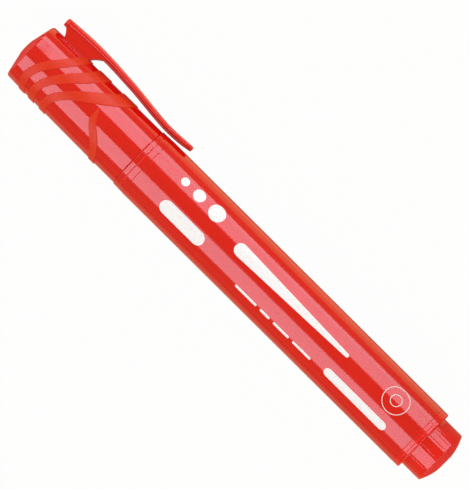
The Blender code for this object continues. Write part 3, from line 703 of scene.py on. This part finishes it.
def make_holder():
    """The moulding that grips the nib, with the collar that shows behind the cap."""
    snap = (COLLAR_FRONT + NECK_FRONT) / 2
    skirt_radius = BARREL_BORE - PRESS_GAP
    outline = rounded([
        (SKIRT_REAR, CHAMBER_RADIUS, 0.0),
        (SKIRT_REAR, skirt_radius, SKIRT_EDGE),
        (COLLAR_REAR, skirt_radius, 0.0),
        (COLLAR_REAR, COLLAR_REAR_RADIUS, COLLAR_REAR_EDGE),
        (COLLAR_GROOVE - COLLAR_GROOVE_REACH, COLLAR_REAR_RADIUS - COLLAR_DRAFT, COLLAR_GROOVE_EDGE),
        (COLLAR_GROOVE, COLLAR_RADIUS - COLLAR_GROOVE_DEPTH, COLLAR_GROOVE_ROUND),
        (COLLAR_GROOVE + COLLAR_GROOVE_REACH, COLLAR_RADIUS, COLLAR_GROOVE_EDGE),
        (COLLAR_FRONT, COLLAR_RADIUS, COLLAR_FRONT_EDGE),
        (COLLAR_FRONT, NECK_RADIUS, NECK_ROOT),
        (snap - SNAP_REACH, NECK_RADIUS, SNAP_FOOT),
        (snap, NECK_RADIUS + SNAP_HEIGHT, SNAP_ROUND),
        (snap + SNAP_REACH, NECK_RADIUS, SNAP_FOOT),
        (NECK_FRONT, NECK_RADIUS, NECK_ROUND),
        (NOSE_REAR, NOSE_RADIUS, NOSE_ROOT),
        (NOSE_FRONT, NOSE_RADIUS, NOSE_ROUND),
        (NOSE_FRONT, NIB_BORE, NIB_BORE_EDGE),
        (FEED_TAPER_FRONT, NIB_BORE, 0.0),
        (FEED_TAPER_REAR, FEED_RADIUS, 0.0),
        (LEDGE, FEED_RADIUS, 0.0),
        (LEDGE, CHAMBER_RADIUS, 0.0),
    ])
    bm = lathe(outline, ring=True)
    piece("nib_holder_collar", bm, HOLDER_RED, "marker_body", ["nib_holder"])


def make_nib():
    """The bullet-shaped fibre tip."""
    outline = [(NIB_REAR, 0.0), (NIB_REAR, NIB_RADIUS - NIB_CHAMFER), (NIB_REAR + NIB_CHAMFER, NIB_RADIUS)]
    for step in range(NIB_STEPS):
        turn = math.pi / 2 * step / NIB_STEPS
        outline.append((NIB_TIP - NIB_POINT + NIB_POINT * math.sin(turn), NIB_RADIUS * math.cos(turn)))
    outline.append((NIB_TIP, 0.0))
    bm = lathe(outline, SMALL_STEPS)
    piece("bullet_nib", bm, FELT_RED, "marker_body", ["nib"])


def make_liner():
    """The cup inside the cap that closes round the nose."""
    outline = rounded([
        (LINER_END, 0.0, 0.0),
        (LINER_END, LINER_FLANGE_RADIUS, LINER_FLANGE_EDGE),
        (LINER_END - LINER_FLANGE, LINER_FLANGE_RADIUS, LINER_FLANGE_EDGE),
        (LINER_END - LINER_FLANGE, LINER_RADIUS, LINER_INNER_EDGE),
        (LINER_MOUTH + LINER_FLANGE, LINER_RADIUS, LINER_INNER_EDGE),
        (LINER_MOUTH + LINER_FLANGE, LINER_FLANGE_RADIUS, LINER_FLANGE_EDGE),
        (LINER_MOUTH, LINER_FLANGE_RADIUS, LINER_FLANGE_EDGE),
        (LINER_MOUTH, LINER_BORE, LINER_MOUTH_EDGE),
        (LINER_END - LINER_WALL, LINER_BORE, LINER_INNER_EDGE),
        (LINER_END - LINER_WALL, 0.0, 0.0),
    ])
    bm = lathe(outline, SMALL_STEPS)
    piece("cap_liner_cup", bm, MILKY_WHITE, "liner", ["cap_liner"])


def cap_radius(depth):
    """Outer radius of the cap at a distance from its closed end."""
    share = clamp(depth / CAP_LENGTH)
    return CAP_END_RADIUS + (CAP_RADIUS - CAP_END_RADIUS) * (1 - (1 - share) ** 2)


def make_cap():
    """The cap without its bands and its clip."""
    side = crown(CAP_APEX, -1.0, CAP_END_RADIUS, CAP_SLOPES, CAP_ROUND)
    side_depth = CAP_APEX - side[-1][0]
    for step in range(1, CAP_SIDE_STEPS):
        depth = side_depth + (CAP_LENGTH - side_depth) * step / CAP_SIDE_STEPS
        side.append((CAP_APEX - depth, cap_radius(depth)))
    mouth = rounded([
        (*side[-1], 0.0),
        (CAP_MOUTH, CAP_RADIUS, CAP_MOUTH_EDGE),
        (CAP_MOUTH, CAP_BORE, CAP_BORE_EDGE),
        (CAP_BORE_FRONT, CAP_BORE, 0.0),
        (RETAINER_FRONT - RETAINER_WIDTH, RETAINER_RADIUS, RETAINER_EDGE),
        (RETAINER_FRONT, RETAINER_RADIUS, 0.0),
        (RETAINER_FRONT, LINER_SEAT, 0.0),
        (CAP_CEILING, LINER_SEAT, CAP_CEILING_ROUND),
        (CAP_CEILING, 0.0, 0.0),
    ])
    bm = lathe(side + mouth[1:])
    piece("cap_tube", bm, CAP_RED, "cap", ["cap_shell"])


def band_ring(width, steps, angle=math.tau):
    """A raised band as a plain ring, with x across the band and its height over the cap's radius."""
    half = width / 2
    section = rounded([
        (-half - BAND_SPREAD, -BAND_ROOT, 0.0),
        (-half + BAND_LEAN, BAND_HEIGHT, BAND_EDGE),
        (half - BAND_LEAN, BAND_HEIGHT, BAND_EDGE),
        (half + BAND_SPREAD, -BAND_ROOT, 0.0),
    ])
    return lathe([(x, CAP_RADIUS + lift) for x, lift in section], steps, ring=True, angle=angle)


def wrap_band(bm, line):
    """Move a band from its plain ring onto the cap, along a line of (middle, stretch, sink)."""
    for vert in bm.verts:
        turn = math.atan2(vert.co.z, vert.co.y)
        lift = math.hypot(vert.co.y, vert.co.z) - CAP_RADIUS
        middle, stretch, sink = line(turn)
        depth = middle - vert.co.x * stretch
        radius = cap_radius(depth) + lift - sink
        vert.co = (CAP_APEX - depth, radius * math.cos(turn), radius * math.sin(turn))


def make_band(name, mean, tilt, sag, twist, clip_width):
    """A raised band that runs all the way round the cap."""
    bm = band_ring(BAND_WIDTH, BAND_STEPS)

    def line(turn):
        side = math.asin(math.sin(turn))
        middle = mean + tilt * math.sin(side) + sag * math.cos(2 * side) + twist * math.sin(3 * side)
        steepness = tilt * math.cos(side) - 2 * sag * math.sin(2 * side) + 3 * twist * math.cos(3 * side)
        flare = max(0.0, (side - BAND_FLARE) / (math.pi / 2 - BAND_FLARE))
        across = 1 + (clip_width / BAND_WIDTH - 1) * flare
        return middle, across * math.hypot(1.0, steepness / cap_radius(middle)), 0.0

    wrap_band(bm, line)
    piece(name, bm, BAND_RED, "cap")


def make_swag():
    """The half band that rises out of the cap on both sides and hangs away from the clip."""
    bm = band_ring(SWAG_WIDTH, BAND_STEPS // 2, math.pi + 2 * SWAG_START)
    bmesh.ops.holes_fill(bm, edges=bm.edges)
    bmesh.ops.rotate(bm, verts=bm.verts, cent=(0, 0, 0), matrix=Matrix.Rotation(SWAG_TURN, 3, "X"))

    def line(turn):
        height = math.sin(turn)
        middle = through(SWAG_PATH, height)
        lean = (through(SWAG_PATH, height + SWAG_STEP) - middle) / SWAG_STEP
        steepness = lean * math.cos(turn) / cap_radius(middle)
        below = math.pi / 2 + SWAG_START - abs(math.remainder(turn + math.pi / 2, math.tau))
        rise = clamp(below / SWAG_FADE)
        narrow = SWAG_TIP + (1 - SWAG_TIP) * rise
        return middle, narrow * math.hypot(1.0, steepness), BAND_HEIGHT * (1 - rise)

    wrap_band(bm, line)
    piece("cap_band_swag", bm, BAND_RED, "cap")


def plate_thickness(place):
    return PLATE_THICKNESS + (PLATE_TIP_THICKNESS - PLATE_THICKNESS) * place / CLIP_LENGTH


def rib_depth(place):
    fade = min(1.0, (CLIP_LENGTH - place) / CLIP_RIB_TAPER)
    return CLIP_RIB_TIP_DEPTH + (CLIP_RIB_DEPTH - CLIP_RIB_TIP_DEPTH) * fade


def clip_underside(place):
    return through(CLIP_PATH, place) - plate_thickness(place) - rib_depth(place)


def soften(bm, edges, offset, segments):
    bmesh.ops.bevel(
        bm, geom=edges, offset=offset, offset_type="OFFSET", segments=segments, profile=0.5,
        affect="EDGES", clamp_overlap=True, material=-1,
    )


def edges_along(bm, direction):
    """Edges that run along a direction."""
    found = []
    for edge in bm.edges:
        run = (edge.verts[1].co - edge.verts[0].co).normalized()
        if abs(run.dot(direction)) > PARALLEL:
            found.append(edge)
    return found


def is_rim(edge, level):
    """Whether an edge of the straight bar is an outer edge at this level."""
    flat = all(abs(vert.co.z - level) < LEVEL_TOLERANCE for vert in edge.verts)
    return flat and edge.calc_face_angle(0.0) > RIM_ANGLE and edge.is_convex


def cut_across(bm, direction, stations):
    """Bisect a mesh with planes square to a direction, without taking anything away."""
    for station in stations:
        geom = bm.verts[:] + bm.edges[:] + bm.faces[:]
        bmesh.ops.bisect_plane(bm, geom=geom, plane_co=direction * station, plane_no=direction)


def make_clip_bar():
    """A straight bar with a rib under it, rounded and cut up along its length.

    It starts at x = 0, and its outer face is at z = 0.
    """
    along, across, up = Vector((1, 0, 0)), Vector((0, 1, 0)), Vector((0, 0, 1))
    bm = bmesh.new()
    bmesh.ops.create_cube(bm, size=1.0)
    bmesh.ops.translate(bm, verts=bm.verts, vec=(0.5, 0.0, -0.5))
    bmesh.ops.scale(bm, verts=bm.verts, vec=(CLIP_LENGTH, CLIP_WIDTH, PLATE_THICKNESS))
    soften(bm, edges_along(bm, up), CLIP_END_ROUND, CLIP_END_STEPS)
    rib_half = CLIP_RIB_WIDTH / 2
    cut_across(bm, across, (-rib_half, rib_half))
    downward = [face for face in bm.faces if face.normal.z < -FACING]
    rib = [face for face in downward if abs(face.calc_center_median().y) < rib_half]
    made = bmesh.ops.extrude_face_region(bm, geom=rib)
    bmesh.ops.delete(bm, geom=rib, context="FACES")
    bmesh.ops.translate(bm, verts=new_verts(made), vec=(0.0, 0.0, -CLIP_RIB_DEPTH))
    for level, fillet in (
        (0.0, PLATE_ROUND),
        (-PLATE_THICKNESS, PLATE_UNDER_ROUND),
        (-PLATE_THICKNESS - CLIP_RIB_DEPTH, RIB_ROUND),
    ):
        soften(bm, [edge for edge in bm.edges if is_rim(edge, level)], fillet, RIM_STEPS)
    cut_across(bm, along, [CLIP_STEP * step for step in range(1, int(CLIP_LENGTH / CLIP_STEP))])
    cut_across(bm, across, (-CLIP_WIDTH / 3, -CLIP_WIDTH / 6, 0.0, CLIP_WIDTH / 6, CLIP_WIDTH / 3))
    return bm


def bend_clip(bm):
    """Move a straight bar onto the clip's path, with the tapers of its width, plate and rib."""
    for vert in bm.verts:
        place = min(max(vert.co.x, 0.0), CLIP_LENGTH)
        taper = max(0.0, (place - CLIP_CREST) / (CLIP_LENGTH - CLIP_CREST))
        width = 1 + (CLIP_TIP_WIDTH / CLIP_WIDTH - 1) * taper
        crown_drop = PLATE_CROWN * (2 * vert.co.y / CLIP_WIDTH) ** 2
        if vert.co.z > -PLATE_THICKNESS:
            drop = -vert.co.z / PLATE_THICKNESS * plate_thickness(place)
            drop += crown_drop * (1 + vert.co.z / PLATE_THICKNESS)
        else:
            drop = plate_thickness(place) - (vert.co.z + PLATE_THICKNESS) / CLIP_RIB_DEPTH * rib_depth(place)
        vert.co = (CLIP_HEAD - place, vert.co.y * width, through(CLIP_PATH, place) - drop)


def fin_end(place, reach, floor):
    """Hollow end of the fin, from the cap up to the middle of the clip's plate."""
    rise = clip_underside(place) + FIN_OVERLAP - floor
    points = []
    for step in range(FIN_STEPS + 1):
        turn = math.pi / 2 * step / FIN_STEPS
        along = max(0.0, math.cos(turn)) ** FIN_HOLLOW
        points.append((place + reach * along, floor + rise * math.sin(turn) ** FIN_HOLLOW))
    points.append((place, through(CLIP_PATH, place) - PLATE_THICKNESS / 2))
    return points


def add_fin(bm):
    """Add the fin to the bent clip."""
    end = FIN_START + FIN_LENGTH
    floor = cap_radius(CAP_APEX - CLIP_HEAD + FIN_START)
    outline = [(end, floor - FIN_ROOT), (FIN_START, floor - FIN_ROOT)]
    outline += fin_end(FIN_START - FIN_FRONT_FLARE, FIN_FRONT_FLARE, floor)
    outline += reversed(fin_end(end + FIN_REAR_FLARE, -FIN_REAR_FLARE, floor))
    verts = [bm.verts.new((CLIP_HEAD - place, -FIN_WIDTH / 2, z)) for place, z in outline]
    side = bm.faces.new(verts)
    made = bmesh.ops.extrude_face_region(bm, geom=[side], use_keep_orig=True)
    bmesh.ops.translate(bm, verts=new_verts(made), vec=(0.0, FIN_WIDTH, 0.0))


def make_clip():
    """The clip with its fin, as one piece."""
    bm = make_clip_bar()
    bend_clip(bm)
    add_fin(bm)
    start = LIE @ Vector((CLIP_HEAD - CLIP_BEND_START, 0.0, CLIP_CREST_HEIGHT))
    end = LIE @ Vector((CLIP_HEAD - CLIP_BEND_END, 0.0, CLIP_CREST_HEIGHT))
    piece("pocket_clip", bm, CLIP_RED_PAINTED_LIGHT, ("cap", "clip", start, end), ["clip_arm"])


def arc_of(height):
    """Length round the barrel of a point that the photograph shows this high off the axis."""
    return BARREL_RADIUS * math.asin(height / BARREL_RADIUS)


def draw_bar(bm, start, end, height, start_width, end_width):
    """A flat bar with round ends, which may taper."""
    middle = arc_of(height)
    lean = math.asin((start_width - end_width) / 2 / abs(end - start))
    verts = []
    for centre, radius, turn, sweep in (
        (start, start_width / 2, -math.pi / 2 - lean, math.pi + 2 * lean),
        (end, end_width / 2, math.pi / 2 + lean, math.pi - 2 * lean),
    ):
        for step in range(PRINT_END_STEPS + 1):
            angle = turn + sweep * step / PRINT_END_STEPS
            spot = (centre + radius * math.cos(angle), middle + radius * math.sin(angle), 0.0)
            verts.append(bm.verts.new(spot))
    bm.faces.new(verts)


def draw_discs(bm):
    for place, radius in DISCS:
        spot = Matrix.Translation((place, arc_of(DISC_HEIGHT), 0.0))
        bmesh.ops.create_circle(bm, cap_ends=True, segments=DISC_STEPS, radius=radius, matrix=spot)


def draw_dashes(bm):
    start = DASH_START
    for length in DASHES:
        draw_bar(bm, start, start - length, DASH_HEIGHT, DASH_WIDTH, DASH_WIDTH)
        start -= length + DASH_GAP


def draw_hoops(bm):
    spot = Matrix.Translation((HOOP_PLACE, arc_of(HOOP_HEIGHT), 0.0))
    for outer in HOOP_RADII:
        edges = []
        for radius in (outer, outer - HOOP_WIDTH):
            made = bmesh.ops.create_circle(bm, segments=HOOP_STEPS, radius=radius, matrix=spot)
            edges += {edge for vert in made["verts"] for edge in vert.link_edges}
        bmesh.ops.bridge_loops(bm, edges=edges)


def thicken(bm):
    """Give a flat print its thickness, from just inside the barrel's skin to just above it."""
    bmesh.ops.translate(bm, verts=bm.verts, vec=(0.0, 0.0, -PRINT_SINK))
    made = bmesh.ops.extrude_face_region(bm, geom=bm.faces[:], use_keep_orig=True)
    bmesh.ops.translate(bm, verts=new_verts(made), vec=(0.0, 0.0, PRINT_SINK + PRINT_LIFT))


def wrap_print(bm):
    """Bend a flat print, drawn as (along, round the barrel, height), onto the barrel."""
    low = min(vert.co.y for vert in bm.verts)
    high = max(vert.co.y for vert in bm.verts)
    count = math.ceil((high - low) / PRINT_STEP)
    cut_across(bm, Vector((0, 1, 0)), [low + (high - low) * step / count for step in range(1, count)])
    for vert in bm.verts:
        share = (vert.co.x - BARREL_REAR) / (BARREL_FRONT - BARREL_REAR)
        skin = BARREL_REAR_RADIUS + (BARREL_RADIUS - BARREL_REAR_RADIUS) * share
        turn = vert.co.y / BARREL_RADIUS
        radius = skin + vert.co.z
        vert.co = (vert.co.x, radius * math.cos(turn), radius * math.sin(turn))


def add_print(name, draw, *sizes):
    """Draw a print flat, and lay it round the barrel."""
    bm = bmesh.new()
    draw(bm, *sizes)
    thicken(bm)
    wrap_print(bm)
    piece(name, bm, PRINT_WHITE, "marker_body")


def make_prints():
    add_print("print_discs", draw_discs)
    for name, sizes in PRINT_BARS.items():
        add_print(name, draw_bar, *sizes)
    add_print("print_dashes", draw_dashes)
    add_print("print_ring", draw_hoops)


def dress_hidden_nodes():
    """Give the pieces that are kept from the CAD frame their finish."""
    for node, material in (("ink_reservoir", CORE_RED), ("reservoir_film", MILKY_WHITE)):
        frame["nodes"][node].data.materials.clear()
        frame["nodes"][node].data.materials.append(material)


def view_axes():
    """The photograph's right, up and back directions in the frame."""
    axis = Vector((1, 0, 0))
    along = axis * math.cos(AXIS_TILT) + TOWARDS_CAMERA * math.sin(AXIS_TILT)
    back = TOWARDS_CAMERA * math.cos(AXIS_TILT) - axis * math.sin(AXIS_TILT)
    right = TOWARDS_CLIP * math.sin(AXIS_SLANT) - along * math.cos(AXIS_SLANT)
    up = TOWARDS_CLIP * math.cos(AXIS_SLANT) + along * math.sin(AXIS_SLANT)
    return right, up, back


def make_camera():
    """The camera of the photograph."""
    right, up, back = view_axes()
    target = LIE.translation.copy()
    target += right * (IMAGE_WIDTH / 2 - MIDDLE_PIXEL[0]) / PIXELS_PER_METRE
    target += up * (MIDDLE_PIXEL[1] - IMAGE_HEIGHT / 2) / PIXELS_PER_METRE
    data = bpy.data.cameras.new("photo_camera")
    data.sensor_width = SENSOR
    data.lens = SENSOR * CAMERA_DISTANCE * PIXELS_PER_METRE / IMAGE_HEIGHT
    camera = bpy.data.objects.new("photo_camera", data)
    turn = Matrix((right, up, back)).transposed().to_4x4()
    camera.matrix_world = Matrix.Translation(target + back * CAMERA_DISTANCE) @ turn
    bpy.context.scene.collection.objects.link(camera)
    bpy.context.scene.camera = camera


def floor_material():
    """White where the camera sees it, part white in reflections, and a warm shade to other light."""
    pale = new_finish("floor_pale")
    path = pale.tree.nodes.new("ShaderNodeLightPath")
    seen = Value(pale, path.outputs["Is Camera Ray"])
    glossy = Value(pale, path.outputs["Is Glossy Ray"])
    through_glass = Value(pale, path.outputs["Is Transmission Ray"])
    white = pale.node("ShaderNodeEmission", {}, {"Color": FLOOR_WHITE, "Strength": 1.0}, "Emission")
    dull = pale.node("ShaderNodeBsdfDiffuse", {}, {"Color": FLOOR_SHADE}, "BSDF")
    share = seen * FLOOR_SEEN + (glossy + through_glass) * FLOOR_MIRRORED
    both = pale.node("ShaderNodeMixShader", {}, {0: share, 1: dull, 2: white}, "Shader")
    pale.feed(pale.tree.nodes["Material Output"].inputs["Surface"], both)
    return pale.owner


def make_floor():
    """Pale floor with a low upright rim far off, so that flat views end on it too."""
    bm = bmesh.new()
    bmesh.ops.create_circle(bm, cap_ends=True, segments=FLOOR_STEPS, radius=FLOOR_RADIUS)
    made = bmesh.ops.extrude_edge_only(bm, edges=[edge for edge in bm.edges if edge.is_boundary])
    bmesh.ops.translate(bm, verts=new_verts(made), vec=(0.0, 0.0, FLOOR_RIM))
    bmesh.ops.recalc_face_normals(bm, faces=bm.faces)
    mesh = bpy.data.meshes.new("floor")
    bm.to_mesh(mesh)
    bm.free()
    mesh.materials.append(floor_material())
    floor = bpy.data.objects.new("floor", mesh)
    bpy.context.scene.collection.objects.link(floor)


def softbox(name, place, facing, size, radiance, colour=LAMP_COLOUR):
    """A rectangular lamp that faces a direction."""
    data = bpy.data.lights.new(name, "AREA")
    data.shape = "RECTANGLE"
    data.size, data.size_y = size
    data.energy = radiance * math.pi * size[0] * size[1]
    data.color = colour
    lamp = bpy.data.objects.new(name, data)
    lamp.matrix_world = Matrix.Translation(place) @ facing.to_track_quat("-Z", "Y").to_matrix().to_4x4()
    lamp.visible_camera = False
    bpy.context.scene.collection.objects.link(lamp)


def make_light():
    """Lamps round the marker, and a warm world that fills the shadows."""
    middle = LIE.translation
    for name, (turn, half_height, along, length) in TALL_LAMPS.items():
        direction = TOWARDS_CAMERA * math.cos(turn) + TOWARDS_CLIP * math.sin(turn)
        place = middle + Vector((along, 0.0, 0.0)) + direction * TALL_LAMP_REACH
        height = 2 * TALL_LAMP_REACH * math.tan(half_height)
        softbox(name, place, -direction, (length, height), LAMP_RADIANCE)
    for name, (place, size, radiance, colour) in LYING_LAMPS.items():
        softbox(name, Vector(place), Vector((0, 0, 1)), size, radiance, colour)
    for name, place in END_LAMPS.items():
        softbox(name, Vector(place), middle - Vector(place), END_LAMP_SIZE, END_LAMP_RADIANCE)
    world = Finish(bpy.data.worlds.new("studio"))
    bpy.context.scene.world = world.owner
    background = world.tree.nodes["Background"]
    background.inputs["Color"].default_value = WORLD_COLOUR
    background.inputs["Strength"].default_value = WORLD_STRENGTH


make_barrel()
make_plug()
make_holder()
make_nib()
make_liner()
make_cap()
for band_name, band_shape in BANDS.items():
    make_band(band_name, *band_shape)
make_swag()
make_clip()
make_prints()
dress_hidden_nodes()
make_camera()
make_floor()
make_light()
bpy.context.scene.view_settings.view_transform = "Standard"
